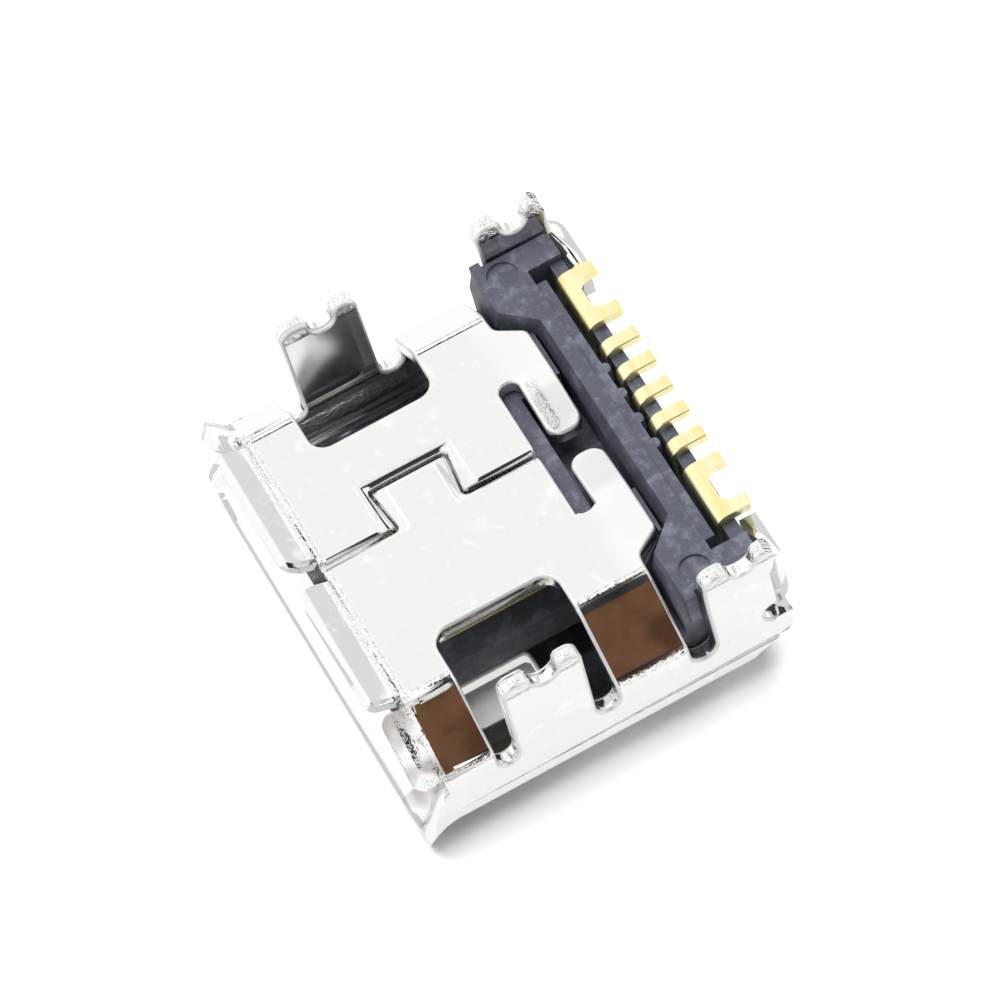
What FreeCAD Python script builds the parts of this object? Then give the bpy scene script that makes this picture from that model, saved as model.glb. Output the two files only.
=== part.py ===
"""Five-contact micro charging socket, surface-mount, with four notched board legs.

Millimetres. While it is modelled, y = 0 is the bend line of the mouth lips, +Y runs to the rear, x = 0 is the
middle of the width and z = 0 is the outside of the plain side. The seam side, which lies on the board, faces +Z.
Every piece is moved at the end, so that the origin is the bottom centre of the whole part.
"""
import FreeCAD, Part
import math
import os

# How far cuts run past a piece and joined blocks reach into each other
margin = 1.0
overlap = 0.1
graze = 0.01
round_rest = 0.001

# Shell, one folded sheet
shell_width = 7.50
shell_height = 2.45
sheet = 0.28
seam_side_half = 2.75
chamfer_drop = 0.87
plain_corner_radius = 0.72
bend_radius = 0.36
chamfer_end = 4.10
wall_end = 5.79
wall_foot = 0.88
wall_foot_radius = 0.30
plain_end = 5.10
plain_end_height = 0.50

# Windows, one at each side, and the slots that free the legs
window_front = 0.84
window_rear = 2.88
window_inner = 1.92
window_radius = 0.28
slot_floor = 1.18
front_slot = 0.34
middle_slot = 0.38
rear_slot = 0.42

# Legs that pass through the board
leg_top = 3.16
leg_lean = 0.11
leg_notch_radius = 0.22
leg_notch_depth = 0.33
front_notch_middle = 1.88
rear_notch_middle = 5.17
leg_corner_radius = 0.20
rear_leg_end = 5.70

# Rear flaps, folded in behind the housing
flap_outside = 5.91
flap_inner_end = 2.70
flap_low = 1.60
flap_bend_radius = 0.34
relief_height = 0.35
relief_start = 5.34

# Mouth lips
lip_bend_radius = 0.15
lip_bend_reach = 0.20
seam_lip_length = 0.47
seam_lip_angle = 22.0
seam_lip_inner = 0.24
seam_lip_outer = 2.58
chamfer_lip_length = 0.37
chamfer_lip_angle = 38.0
chamfer_lip_margin = 0.05
plain_lip_run = 0.54
plain_lip_drop = 0.16
plain_lip_low = 0.42
plain_lip_high = 1.24
lip_corner_radius = 0.16
lip_seam_radius = 0.30

# Locked seam, with a shallow pressed band along it
seam_x = -0.07
seam_gap = 0.07
lock_gap = 0.03
lock_front = 1.30
lock_rear = 2.40
lock_reach = 0.82
lock_skew = 0.10
lock_radius = 0.07
seam_edge = 0.05
band_width = 0.15
band_length = 0.21
band_depth = 0.05
band_slope = 0.04

# Hold-down fingers and the slot in front of them
panel_end = 3.65
finger_slot = 0.33
finger_width = 0.57
finger_tip = 0.22
finger_slot_half = 1.34
finger_slot_middle = -0.06
finger_slot_radius = 0.14
finger_root = 1.235
finger_sag = 0.14
finger_tip_radius = 0.24
bridge_half = 2.10
bridge_shoulder = 2.38

# Latch holes in the plain side
latch_hole_width = 0.80
latch_hole_length = 1.20
latch_hole_front = 1.00
latch_hole_centre = 2.00
latch_hole_radius = 0.10

# Housing, one moulding
fit = 0.02
body_front = 3.45
tongue_front = 0.60
tongue_half = 1.85
tongue_low = 0.72
tongue_thickness = 0.60
tongue_tip_chamfer = 0.14
ear_top = 2.54
ear_front = 4.30
ear_inner = 2.55
ear_nib = 0.10
ear_nib_end = 4.47
ear_nib_low = 1.90
ridge_front = 4.79
ridge_rear = 5.03
ridge_slope = 0.10
ridge_foot = 2.20
ridge_end = 2.07
band_drop = 0.08
recess_half = 1.22
recess_floor = 1.55
ledge_drop = 0.16
ledge_gap = 0.06
pocket_front = 5.21
pocket_floor = 1.75
pocket_inner = 2.73
pocket_end = 2.97
comb_front = 5.38
tail_seat = 0.02
ejector_radius = 0.25
ejector_depth = 0.05
ejector_x = 3.125
ejector_y = 4.67

# Contacts and solder lugs
contact_count = 5
tongue_pitch = 0.65
tail_pitch = 0.533
contact_thickness = 0.15
contact_width = 0.245
contact_proud = 0.05
contact_front = 1.10
contact_jog_start = 3.80
contact_jog_end = 4.70
contact_bend_radius = 0.18
tail_front = 5.30
tail_end = 5.93
tail_top = 2.57
lug_inner = 1.51
lug_outer = 2.61
lug_foot = 1.45
lug_notch_width = 0.62
lug_notch_depth = 0.36
lug_notch_radius = 0.17

# Worked out from the values above
wall_outside = shell_width / 2
wall_inside = wall_outside - sheet
seam_inside = shell_height - sheet
chamfer_foot = shell_height - chamfer_drop
chamfer_angle = math.degrees(math.atan2(chamfer_drop, wall_outside - seam_side_half))
front_leg_start = window_front + front_slot
front_leg_end = window_rear - middle_slot
rear_leg_start = chamfer_end + rear_slot
flap_inside = flap_outside - sheet
finger_front = panel_end + finger_slot
finger_rear = finger_front + finger_width
tongue_top = tongue_low + tongue_thickness
housing_half = wall_inside - fit
housing_low = sheet + fit
housing_rear = flap_inside - fit
shelf_top = seam_inside - fit
tail_low = tail_top - contact_thickness
comb_top = tail_low - tail_seat
contact_top = tongue_top + contact_proud
contact_low = contact_top - contact_thickness


def place(axis, u, v, level):
    """Turns a point of an outline into space: the outline lies square to the axis, at a level on it."""
    if axis == "x":
        return FreeCAD.Vector(level, u, v)
    if axis == "y":
        return FreeCAD.Vector(u, level, v)
    return FreeCAD.Vector(u, v, level)


def rounded_wire(points, axis, level):
    """A closed wire through corners (u, v, radius), each corner rounded by a tangent arc of its radius."""
    ends = []
    count = len(points)
    for i in range(count):
        u, v, radius = points[i]
        before = points[i - 1]
        after = points[(i + 1) % count]
        a = FreeCAD.Vector(before[0] - u, before[1] - v, 0).normalize()
        b = FreeCAD.Vector(after[0] - u, after[1] - v, 0).normalize()
        corner = FreeCAD.Vector(u, v, 0)
        if radius <= 0:
            ends.append((corner, None, corner))
            continue
        half = a.getAngle(b) / 2
        reach = radius / math.tan(half)
        middle = (a + b).normalize()
        centre = corner + middle * (radius / math.sin(half))
        ends.append((corner + a * reach, centre - middle * radius, corner + b * reach))
    edges = []
    for i in range(count):
        start, middle, end = ends[i]
        if middle is not None:
            arc = Part.Arc(*[place(axis, p.x, p.y, level) for p in (start, middle, end)])
            edges.append(arc.toShape())
        following = ends[(i + 1) % count][0]
        if end.distanceToPoint(following) > 1e-7:
            far = place(axis, following.x, following.y, level)
            edges.append(Part.LineSegment(place(axis, end.x, end.y, level), far).toShape())
    return Part.Wire(edges)


def plate(points, axis, low, high):
    """A solid with the outline as its section, from low to high along the axis."""
    face = Part.Face(rounded_wire(points, axis, low))
    return face.extrude(place(axis, 0, 0, high - low))


def box(x0, x1, y0, y1, z0, z1):
    return Part.makeBox(x1 - x0, y1 - y0, z1 - z0, FreeCAD.Vector(x0, y0, z0))


def rectangle(u0, u1, v0, v1, radius=0.0):
    return [(u0, v0, radius), (u1, v0, radius), (u1, v1, radius), (u0, v1, radius)]


def mirrored(shape):
    """The same shape on the other side of the middle plane."""
    return shape.mirror(FreeCAD.Vector(0, 0, 0), FreeCAD.Vector(1, 0, 0))


def both_sides(shape):
    return [shape, mirrored(shape)]


def joined(first, others):
    return first.fuse(others).removeSplitter()


def shell_section(level):
    """The outside of the folded sheet, seen from the mouth."""
    return rounded_wire([
        (-seam_side_half, shell_height, bend_radius),
        (seam_side_half, shell_height, bend_radius),
        (wall_outside, chamfer_foot, bend_radius),
        (wall_outside, 0, plain_corner_radius),
        (-wall_outside, 0, plain_corner_radius),
        (-wall_outside, chamfer_foot, bend_radius),
    ], "y", level)


def section_prism(inset, start, end):
    """The shell's section, drawn in by the inset, from start to end along Y."""
    wire = shell_section(start)
    if inset:
        wire = wire.makeOffset2D(-inset)
    return Part.Face(wire).extrude(FreeCAD.Vector(0, end - start, 0))


def shell_tube():
    """The closed part of the sheet, with the lower walls that run on to the rear."""
    tube = section_prism(0, 0, wall_end).cut(section_prism(sheet, -margin, wall_end + margin))
    floor = slot_floor + rear_slot / 2
    above_walls = box(-wall_outside - margin, wall_outside + margin, chamfer_end, wall_end + margin,
                      floor, leg_top + margin)
    tube = tube.cut(above_walls)
    keep = plate([(-margin, -margin, 0), (plain_end, -margin, 0),
                  (plain_end, plain_end_height, wall_foot_radius), (wall_end, wall_foot, wall_foot_radius),
                  (wall_end, leg_top, 0), (-margin, leg_top, 0)],
                 "x", -wall_outside - margin, wall_outside + margin)
    return tube.common(keep)


def window_cuts():
    """Openings at both sides, through the seam side, the chamfer and the top of the wall."""
    floor = slot_floor + front_slot / 2
    through_top = plate([(window_inner, window_front, window_radius), (wall_outside + margin, window_front, 0),
                         (wall_outside + margin, window_rear, 0), (window_inner, window_rear, window_radius)],
                        "z", floor, leg_top + margin)
    return both_sides(through_top)


def stadium_slot(start, width, floor, top):
    """A slot with a round floor that goes through a side wall."""
    radius = width / 2 - round_rest
    return plate([(start, floor, radius), (start + width, floor, radius), (start + width, top, 0),
                  (start, top, 0)], "x", wall_inside - sheet, wall_outside + sheet)


def leg_outline(start, end, foot, middle):
    """A leg seen from the side: two prongs with a round notch between them."""
    face = Part.Face(rounded_wire([(start, foot, 0), (end, foot, 0), (end, leg_top, leg_corner_radius),
                                   (start, leg_top, leg_corner_radius)], "x", 0))
    solid = face.extrude(FreeCAD.Vector(wall_outside + sheet, 0, 0))
    rim = leg_notch_radius
    wide = leg_notch_radius * 1.3
    notch = plate([(middle - rim, leg_top - leg_notch_depth, rim - round_rest),
                   (middle + rim, leg_top - leg_notch_depth, rim - round_rest),
                   (middle + rim, leg_top - rim * 0.4, 0), (middle + wide, leg_top + graze, 0),
                   (middle - wide, leg_top + graze, 0), (middle - rim, leg_top - rim * 0.4, 0)],
                  "x", 0, wall_outside + sheet)
    return solid.cut(notch)


def leg(start, end, foot, middle):
    """One leg on the +X side. It leans outwards a little from its foot to its top."""
    sheet_line = plate([(wall_inside, foot, 0), (wall_outside, foot, 0), (wall_outside + leg_lean, leg_top, 0),
                        (wall_inside + leg_lean, leg_top, 0)], "y", start, end)
    return sheet_line.common(leg_outline(start, end, foot, middle))


def rear_corner():
    """The upper rear of the wall on the +X side, folded round the corner into the flap."""
    inner_radius = max(flap_bend_radius - sheet, 0.02)
    foot = slot_floor + rear_slot / 2
    return plate([(wall_inside, rear_leg_start, 0), (wall_outside, rear_leg_start, 0),
                  (wall_outside, flap_outside, flap_bend_radius), (flap_inner_end, flap_outside, 0),
                  (flap_inner_end, flap_inside, 0), (wall_inside, flap_inside, inner_radius)],
                 "z", foot, shell_height)


def flap_underside():
    """What is cut away below the flap, and the relief notch that lets it fold."""
    radius = relief_height / 2 - round_rest
    low = flap_low - relief_height
    relief = plate([(relief_start, low, radius), (flap_outside + margin, low, 0),
                    (flap_outside + margin, flap_low, 0), (relief_start, flap_low, radius)],
                   "x", flap_inner_end - margin, wall_outside + margin)
    below = box(flap_inner_end - margin, wall_outside + margin, wall_end, flap_outside + margin, low - margin,
                flap_low)
    return [relief, below]


def canonical_lip(width, length, angle, left_radius, right_radius):
    """A lip whose wall lies at z = 0 with its outside up, centred on x = 0, and the wall that it replaces."""
    turn = math.radians(angle)
    run = length * math.cos(turn)
    rise = length * math.sin(turn)
    half = width / 2
    section = [
        (lip_bend_reach, 0, 0),
        (0, 0, lip_bend_radius),
        (-run, rise, 0),
        (-run - sheet * math.sin(turn), rise - sheet * math.cos(turn), 0),
        (-sheet * math.tan(turn / 2), -sheet, lip_bend_radius + sheet),
        (lip_bend_reach, -sheet, 0),
    ]
    strip = plate(section, "x", -half, half)
    front = -run - sheet
    trim = plate([(-half, front + sheet * (1 - math.sin(turn)), left_radius),
                  (half, front + sheet * (1 - math.sin(turn)), right_radius),
                  (half, lip_bend_reach, 0), (-half, lip_bend_reach, 0)], "z", -sheet * 2, rise + sheet)
    replaced = box(-half, half, -sheet, lip_bend_reach, -sheet * 1.5, sheet * 0.5)
    return strip.common(trim), replaced


def set_lip(shape, x, z, turn):
    """Turns a canonical lip about Y and moves it to its wall."""
    moved = shape.copy()
    moved.rotate(FreeCAD.Vector(0, 0, 0), FreeCAD.Vector(0, 1, 0), turn)
    moved.translate(FreeCAD.Vector(x, 0, z))
    return moved


def lips():
    """Every lip of the mouth with the stretch of wall that it replaces."""
    made = []
    seam_width = seam_lip_outer - seam_lip_inner
    seam_lip = canonical_lip(seam_width, seam_lip_length, seam_lip_angle, lip_seam_radius, lip_corner_radius)
    for part in seam_lip:
        made.append(set_lip(part, (seam_lip_outer + seam_lip_inner) / 2, shell_height, 0))
    chamfer_length = math.hypot(wall_outside - seam_side_half, chamfer_drop)
    chamfer_lip = canonical_lip(chamfer_length - 2 * chamfer_lip_margin, chamfer_lip_length, chamfer_lip_angle,
                                lip_corner_radius, lip_corner_radius)
    for part in chamfer_lip:
        made.append(set_lip(part, (wall_outside + seam_side_half) / 2, (shell_height + chamfer_foot) / 2,
                            chamfer_angle))
    made = [both_sides(part) for part in made]
    solids = [side for pair in made[0::2] for side in pair]
    replaced = [side for pair in made[1::2] for side in pair]
    return solids + [plain_lip()], replaced


def flared_prism(inset):
    """The section of the shell, opened out smoothly from the bend line to the edge of the plain side's lip."""
    wires = []
    for step in range(4):
        share = step / 3
        wire = shell_section(-plain_lip_run * share)
        grow = plain_lip_drop * share ** 1.6 - inset
        wires.append(wire.makeOffset2D(grow) if abs(grow) > 1e-6 else wire)
    return Part.makeLoft(wires, True, False)


def plain_lip():
    """The wide lip of the plain side. It runs round both corners and dies out on the side walls."""
    ring = flared_prism(0).cut(flared_prism(sheet))
    keep = plate([(0, -margin, 0), (0, plain_lip_high, 0), (-plain_lip_run * 0.3, plain_lip_high - 0.12, 0.1),
                  (-plain_lip_run, plain_lip_low, 0.1), (-plain_lip_run - margin, plain_lip_low - margin, 0)],
                 "x", -wall_outside - margin, wall_outside + margin)
    return ring.common(keep)


def seam_band(left, side, along, skew, radius):
    """The outline of a band that follows the locked seam from the mouth to the rear edge of the seam side.

    Its widths about the seam are: left of the straight runs, on all other sides across, and along Y.
    """
    reach = seam_x - lock_reach
    front = lock_front - (lock_skew - skew) / 2
    rear = lock_rear + (lock_skew - skew) / 2
    mouth = -seam_lip_length - margin
    end = panel_end + overlap
    outer = radius + along if radius else 0
    return [
        (seam_x - left, mouth, 0), (seam_x - left, front - along, radius),
        (reach - side, front - skew - along, outer), (reach - side, rear + skew + along, outer),
        (seam_x - left, rear + along, radius), (seam_x - left, end, 0),
        (seam_x + side, end, 0), (seam_x + side, rear - along, outer),
        (reach + side, rear + skew - along, radius), (reach + side, front - skew + along, radius),
        (seam_x + side, front + along, outer), (seam_x + side, mouth, 0),
    ]


def seam_loft(left, side, along, skew, radius, slope, level):
    """A channel along the seam whose sides lean out by the slope on each step of the same height as they rise."""
    wires = []
    for grow, rise in ((0, -slope), (slope * 2, slope)):
        outline = seam_band(left + grow, side + grow, along + grow, skew, radius)
        wires.append(rounded_wire(outline, "z", level + rise))
    return Part.makeLoft(wires, True, True)


def seam_cuts():
    """The gap of the seam, the eased edges beside it and the pressed band around them."""
    half = seam_gap / 2
    floor = shell_height - band_depth
    gap = plate(seam_band(half, half, lock_gap / 2, lock_skew, lock_radius), "z", seam_inside - overlap,
                shell_height + overlap)
    edges = seam_loft(half - seam_edge, half, lock_gap / 2, lock_skew, lock_radius, seam_edge, floor)
    band = seam_loft(half - band_slope * 2, band_width - band_slope, band_length - band_slope, 0, 0,
                     band_slope, floor + band_slope)
    behind_lips = box(-wall_outside, wall_outside, fit, panel_end + overlap, seam_inside,
                      shell_height + margin)
    return [gap, edges.common(behind_lips), band.common(behind_lips)]


def latch_holes():
    half = latch_hole_width / 2
    hole = plate(rectangle(latch_hole_centre - half, latch_hole_centre + half, latch_hole_front,
                           latch_hole_front + latch_hole_length, latch_hole_radius), "z", -sheet, sheet * 2)
    return both_sides(hole)


def rear_bridge():
    """The flat root of the finger on the +X side, behind the slot, with its S-shaped outer edge."""
    shoulder_radius = 0.16
    return plate([
        (finger_root, panel_end - 0.4, 0),
        (seam_side_half - bend_radius / 2, panel_end - 0.4, 0),
        (seam_side_half - bend_radius / 2, chamfer_end, 0),
        (bridge_shoulder, chamfer_end + 0.02, shoulder_radius),
        (bridge_half, finger_rear, shoulder_radius),
        (finger_root, finger_rear, 0),
    ], "z", seam_inside, shell_height)


def finger():
    """The hold-down finger on the +X side. It slopes from its root down to its tip."""
    slope = plate([(finger_root, shell_height, 0), (finger_tip, shell_height - finger_sag, 0),
                   (finger_tip, seam_inside - finger_sag, 0), (finger_root, seam_inside, 0)],
                  "y", finger_front, finger_rear)
    outline = plate([(finger_root, finger_front, 0), (finger_root, finger_rear, 0),
                     (finger_tip, finger_rear, finger_tip_radius),
                     (finger_tip, finger_front, finger_tip_radius)],
                    "z", seam_inside - sheet, shell_height + sheet)
    return slope.common(outline)


def finger_slot_cut():
    """The slot between the seam side and the fingers, round at both ends."""
    outline = rectangle(finger_slot_middle - finger_slot_half, finger_slot_middle + finger_slot_half, panel_end,
                        finger_front, finger_slot_radius)
    return plate(outline, "z", seam_inside - overlap, shell_height + overlap)


def make_shell():
    tube = shell_tube()
    tube = tube.cut(window_cuts())
    bridge = rear_bridge()
    middle = box(-finger_root, finger_root, panel_end, chamfer_end + overlap, seam_inside - overlap,
                 shell_height + overlap)
    tube = tube.cut(middle)
    tube = joined(tube, both_sides(bridge))
    front_foot = slot_floor + front_slot / 2
    added = both_sides(leg(front_leg_start, front_leg_end, front_foot, front_notch_middle))
    added += both_sides(rear_corner())
    added += both_sides(leg(rear_leg_start, rear_leg_end, shell_height, rear_notch_middle))
    added += both_sides(finger())
    tube = joined(tube, added)
    cuts = []
    for start, width in ((window_front, front_slot), (front_leg_end, middle_slot), (chamfer_end, rear_slot)):
        cuts += both_sides(stadium_slot(start, width, slot_floor, slot_floor + width))
    for part in flap_underside():
        cuts += both_sides(part)
    cuts += latch_holes()
    cuts.append(finger_slot_cut())
    tube = tube.cut(cuts)
    lip_solids, replaced = lips()
    tube = tube.cut(replaced)
    tube = joined(tube, lip_solids)
    return tube.cut(seam_cuts()).removeSplitter()


def contact_middle(index):
    return index - (contact_count - 1) / 2


def strip_section(foot_front, foot_low):
    """A bent strip seen from the side: along the foot, up behind the pocket and back over the comb."""
    inner = contact_bend_radius
    outer = contact_bend_radius + contact_thickness
    tail_back = tail_front + contact_thickness
    top_radius = outer * 0.6
    return [
        (foot_front, foot_low, 0),
        (tail_back, foot_low, outer),
        (tail_back, tail_low, top_radius - contact_thickness * 0.5),
        (tail_end, tail_low, 0),
        (tail_end, tail_top, 0),
        (tail_front, tail_top, top_radius),
        (tail_front, foot_low + contact_thickness, inner),
        (foot_front, foot_low + contact_thickness, 0),
    ]


def make_contact(index):
    """One contact: it lies in the tongue, steps to the tail pitch inside the body and ends in its tail."""
    place_in_row = contact_middle(index)
    x0 = place_in_row * tongue_pitch
    x1 = place_in_row * tail_pitch
    half = contact_width / 2
    bent = plate(strip_section(contact_front, contact_low), "x", -wall_outside, wall_outside)
    outline = plate([
        (x0 - half, contact_front, 0), (x0 + half, contact_front, 0), (x0 + half, contact_jog_start, 0),
        (x1 + half, contact_jog_end, 0), (x1 + half, tail_end, 0), (x1 - half, tail_end, 0),
        (x1 - half, contact_jog_end, 0), (x0 - half, contact_jog_start, 0),
    ] if index != (contact_count - 1) / 2 else rectangle(-half, half, contact_front, tail_end), "z", 0, leg_top)
    return bent.common(outline)


def make_lug():
    """The wide solder lug on the +X side, with a notch in its rear edge."""
    tail_back = tail_front + contact_thickness
    top_radius = (contact_bend_radius + contact_thickness) * 0.6
    section = [
        (tail_back, lug_foot, 0),
        (tail_back, tail_low, top_radius - contact_thickness * 0.5),
        (tail_end, tail_low, 0),
        (tail_end, tail_top, 0),
        (tail_front, tail_top, top_radius),
        (tail_front, lug_foot, 0),
    ]
    strip = plate(section, "x", lug_inner, lug_outer)
    middle = (lug_inner + lug_outer) / 2
    half = lug_notch_width / 2
    notch = plate([(middle - half, tail_end - lug_notch_depth, lug_notch_radius),
                   (middle + half, tail_end - lug_notch_depth, lug_notch_radius),
                   (middle + half, tail_end + overlap, 0), (middle - half, tail_end + overlap, 0)],
                  "z", tail_low - overlap, tail_top + overlap)
    corner = 0.06
    outline = plate([(lug_inner, tail_front - overlap, 0), (lug_outer, tail_front - overlap, 0),
                     (lug_outer, tail_end, corner), (lug_inner, tail_end, corner)], "z", 0, leg_top)
    return strip.cut(notch).common(outline)


def tongue():
    """The tongue in the mouth, thinned at its tip."""
    return plate([
        (tongue_front, tongue_low + tongue_tip_chamfer, 0), (tongue_front + tongue_tip_chamfer, tongue_low, 0),
        (body_front + overlap, tongue_low, 0), (body_front + overlap, tongue_top, 0),
        (tongue_front + tongue_tip_chamfer, tongue_top, 0),
        (tongue_front, tongue_top - tongue_tip_chamfer, 0),
    ], "x", -tongue_half, tongue_half)


def housing_body():
    """The block that fills the shell behind the tongue, up to the shelf under the seam side."""
    front = section_prism(sheet + fit, body_front, chamfer_end)
    rear_section = [
        (-housing_half, housing_low, plain_corner_radius - sheet), (housing_half, housing_low,
                                                                    plain_corner_radius - sheet),
        (housing_half, recess_floor, 0), (-housing_half, recess_floor, 0),
    ]
    rear = plate(rear_section, "y", chamfer_end, housing_rear)
    return front, rear


def ridge_outline():
    """Ridge and ears seen from above, with the slanted shoulders between them."""
    return [
        (-housing_half, ear_front, 0), (-ear_inner, ear_front, 0), (-ridge_end, ridge_front, 0),
        (ridge_end, ridge_front, 0), (ear_inner, ear_front, 0), (housing_half, ear_front, 0),
        (housing_half, housing_rear, flap_bend_radius - sheet), (-housing_half, housing_rear,
                                                                  flap_bend_radius - sheet),
    ]


def sloped_ridge():
    """Ears and ridge as one block whose front faces lean back towards the top."""
    low_wire = rounded_wire([(u, v - ridge_slope if v < ridge_rear else v, 0) for u, v, r in ridge_outline()],
                            "z", ridge_foot)
    high_wire = rounded_wire([(u, v, 0) for u, v, r in ridge_outline()], "z", ear_top)
    upper = Part.makeLoft([low_wire, high_wire], True, True)
    lower = Part.Face(low_wire).extrude(FreeCAD.Vector(0, 0, recess_floor - ridge_foot))
    corners = plate(rectangle(-housing_half, housing_half, ear_front - margin, housing_rear,
                              flap_bend_radius - sheet), "z", recess_floor - overlap, ear_top + overlap)
    return upper.fuse(lower).common(corners)


def shelves():
    """The rib below the finger slot and the ledges that the roots of the fingers lie over."""
    rib = box(-seam_side_half + sheet, seam_side_half - sheet, body_front, finger_front - fit * 2,
              recess_floor - overlap, shelf_top)
    ledge_rear = ridge_front - ridge_slope - ledge_gap
    side = plate([(recess_half, body_front, 0), (seam_side_half - sheet, body_front, 0),
                  (seam_side_half - sheet, chamfer_end, 0), (bridge_half, finger_rear, 0),
                  (bridge_half, ledge_rear, 0), (recess_half, ledge_rear, 0)],
                 "z", recess_floor - overlap, shelf_top)
    ledge = box(recess_half, bridge_half, finger_rear + fit, ledge_rear, shelf_top - overlap,
                shell_height - ledge_drop)
    return [rib] + both_sides(side) + both_sides(ledge)


def pocket_cuts():
    """The step behind the ridge, the pocket that the tails come out of, and the top of the comb."""
    top = ear_top + overlap
    step = box(-pocket_inner, pocket_inner, ridge_rear, housing_rear + margin, ear_top - band_drop, top)
    comb = box(-pocket_end, pocket_end, comb_front - graze, housing_rear + margin, comb_top, top)
    pocket = box(-pocket_inner - graze, pocket_inner + graze, pocket_front, comb_front, pocket_floor, top)
    end = box(pocket_inner, pocket_end, ridge_rear, comb_front, pocket_floor, top)
    return [step, comb, pocket] + both_sides(end)


def teeth():
    """Scalloped teeth that reach forward between the tails."""
    radius = 0.09
    made = []
    for index in range(contact_count - 1):
        middle = (contact_middle(index) + 0.5) * tail_pitch
        half = (tail_pitch - contact_width) / 2 - 0.05
        made.append(plate([(middle - half, pocket_front - graze, 0), (middle + half, pocket_front - graze, 0),
                           (middle + half, pocket_front + radius, radius * 0.9),
                           (middle - half, pocket_front + radius, radius * 0.9)],
                          "z", pocket_floor - 0.05, ear_top - band_drop))
    return made


def make_housing(contacts):
    front, rear = housing_body()
    over_recess = box(-wall_outside, wall_outside, body_front - graze, chamfer_end + graze, recess_floor,
                      leg_top)
    chamfered_sides = front.cut(over_recess)
    body = joined(chamfered_sides, [rear, tongue(), sloped_ridge()] + shelves())
    front_top = section_prism(sheet + fit, body_front, chamfer_end)
    beside = front_top.common(box(seam_side_half - sheet - graze, wall_outside, body_front, chamfer_end,
                                  recess_floor - graze, leg_top))
    body = joined(body, both_sides(beside))
    nib = box(housing_half - graze, housing_half + ear_nib, ear_front, ear_nib_end, ear_nib_low, ear_top)
    body = joined(body, both_sides(nib))
    body = joined(body.cut(pocket_cuts()), teeth())
    dimple = Part.makeCylinder(ejector_radius, ejector_depth * 2,
                               FreeCAD.Vector(ejector_x, ejector_y, ear_top - ejector_depth))
    body = body.cut(both_sides(dimple))
    return body.cut(contacts).removeSplitter()


def to_part_frame(shape):
    """Moves a piece so that the origin is the bottom centre of the whole part."""
    moved = shape.copy()
    moved.translate(FreeCAD.Vector(0, (plain_lip_run - tail_end) / 2, plain_lip_drop))
    return moved


def main():
    os.makedirs("parts", exist_ok=True)
    nodes = {"contact_%d" % (i + 1): make_contact(i) for i in range(contact_count)}
    lug = make_lug()
    nodes["solder_lug_right"] = lug
    nodes["solder_lug_left"] = mirrored(lug)
    nodes["housing"] = make_housing(list(nodes.values()))
    nodes["shell"] = make_shell()
    for name, shape in nodes.items():
        if not shape.isValid() or len(shape.Solids) != 1:
            raise RuntimeError("%s: valid %s, solids %d" % (name, shape.isValid(), len(shape.Solids)))
        moved = to_part_frame(shape.Solids[0])
        moved.exportStep("parts/%s.step" % name)
        bounds = moved.BoundBox
        print("%-18s %8.4f mm3  x %.3f %.3f  y %.3f %.3f  z %.3f %.3f" % (
            name, moved.Volume, bounds.XMin, bounds.XMax, bounds.YMin, bounds.YMax, bounds.ZMin, bounds.ZMax))


main()
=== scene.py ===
"""Dresses a small charging port: plated sheet, moulded body, gilt tails, a white table and soft light."""
import functools
import math

import bmesh
import bpy
from bpy.props import FloatProperty, FloatVectorProperty, PointerProperty
from mathutils import Euler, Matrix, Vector


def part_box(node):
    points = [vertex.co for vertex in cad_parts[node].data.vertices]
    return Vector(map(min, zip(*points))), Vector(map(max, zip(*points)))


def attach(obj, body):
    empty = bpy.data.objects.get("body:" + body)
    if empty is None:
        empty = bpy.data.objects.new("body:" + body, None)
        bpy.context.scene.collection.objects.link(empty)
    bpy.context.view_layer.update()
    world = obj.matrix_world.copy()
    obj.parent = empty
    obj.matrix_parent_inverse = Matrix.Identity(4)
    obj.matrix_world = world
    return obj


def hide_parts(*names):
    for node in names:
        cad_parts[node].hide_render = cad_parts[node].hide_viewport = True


bl_info = {
    "name": "Charging port finish",
    "version": (1, 0, 0),
    "blender": (4, 5, 0),
    "location": "3D View > Sidebar > Port",
    "description": "Finishes a small charging port and sets it on a white table",
    "category": "Object",
}

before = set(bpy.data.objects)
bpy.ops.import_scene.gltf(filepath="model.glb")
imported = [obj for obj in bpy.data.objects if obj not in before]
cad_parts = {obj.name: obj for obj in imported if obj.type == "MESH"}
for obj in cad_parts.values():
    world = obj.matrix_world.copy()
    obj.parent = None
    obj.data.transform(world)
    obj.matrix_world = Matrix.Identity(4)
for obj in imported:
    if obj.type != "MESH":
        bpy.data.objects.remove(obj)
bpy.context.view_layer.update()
shell_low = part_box("shell")[0]

MM = 0.001
TAILS = tuple(sorted(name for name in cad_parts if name.startswith("contact_")))
LUGS = ("solder_lug_left", "solder_lug_right")

# Stretches in millimetres over which a mask on the sheet rises or falls, across from the middle
PANEL_SIDE = (2.62, 2.70)
LOCK_SIDE = (1.1, 1.3)
OUTER_WALL = (3.64, 3.70)
LEG_INSIDE = (3.20, 3.30)
LEG_OUTSIDE = (3.60, 3.66)
CHAMFER_INSIDE = (2.70, 2.78)
CHAMFER_OUTSIDE = (3.60, 3.68)
CHAMFER_FOOT_SIDE = (3.41, 3.56)
MOUTH_CORNER_SIDE = (2.66, 2.76)

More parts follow.
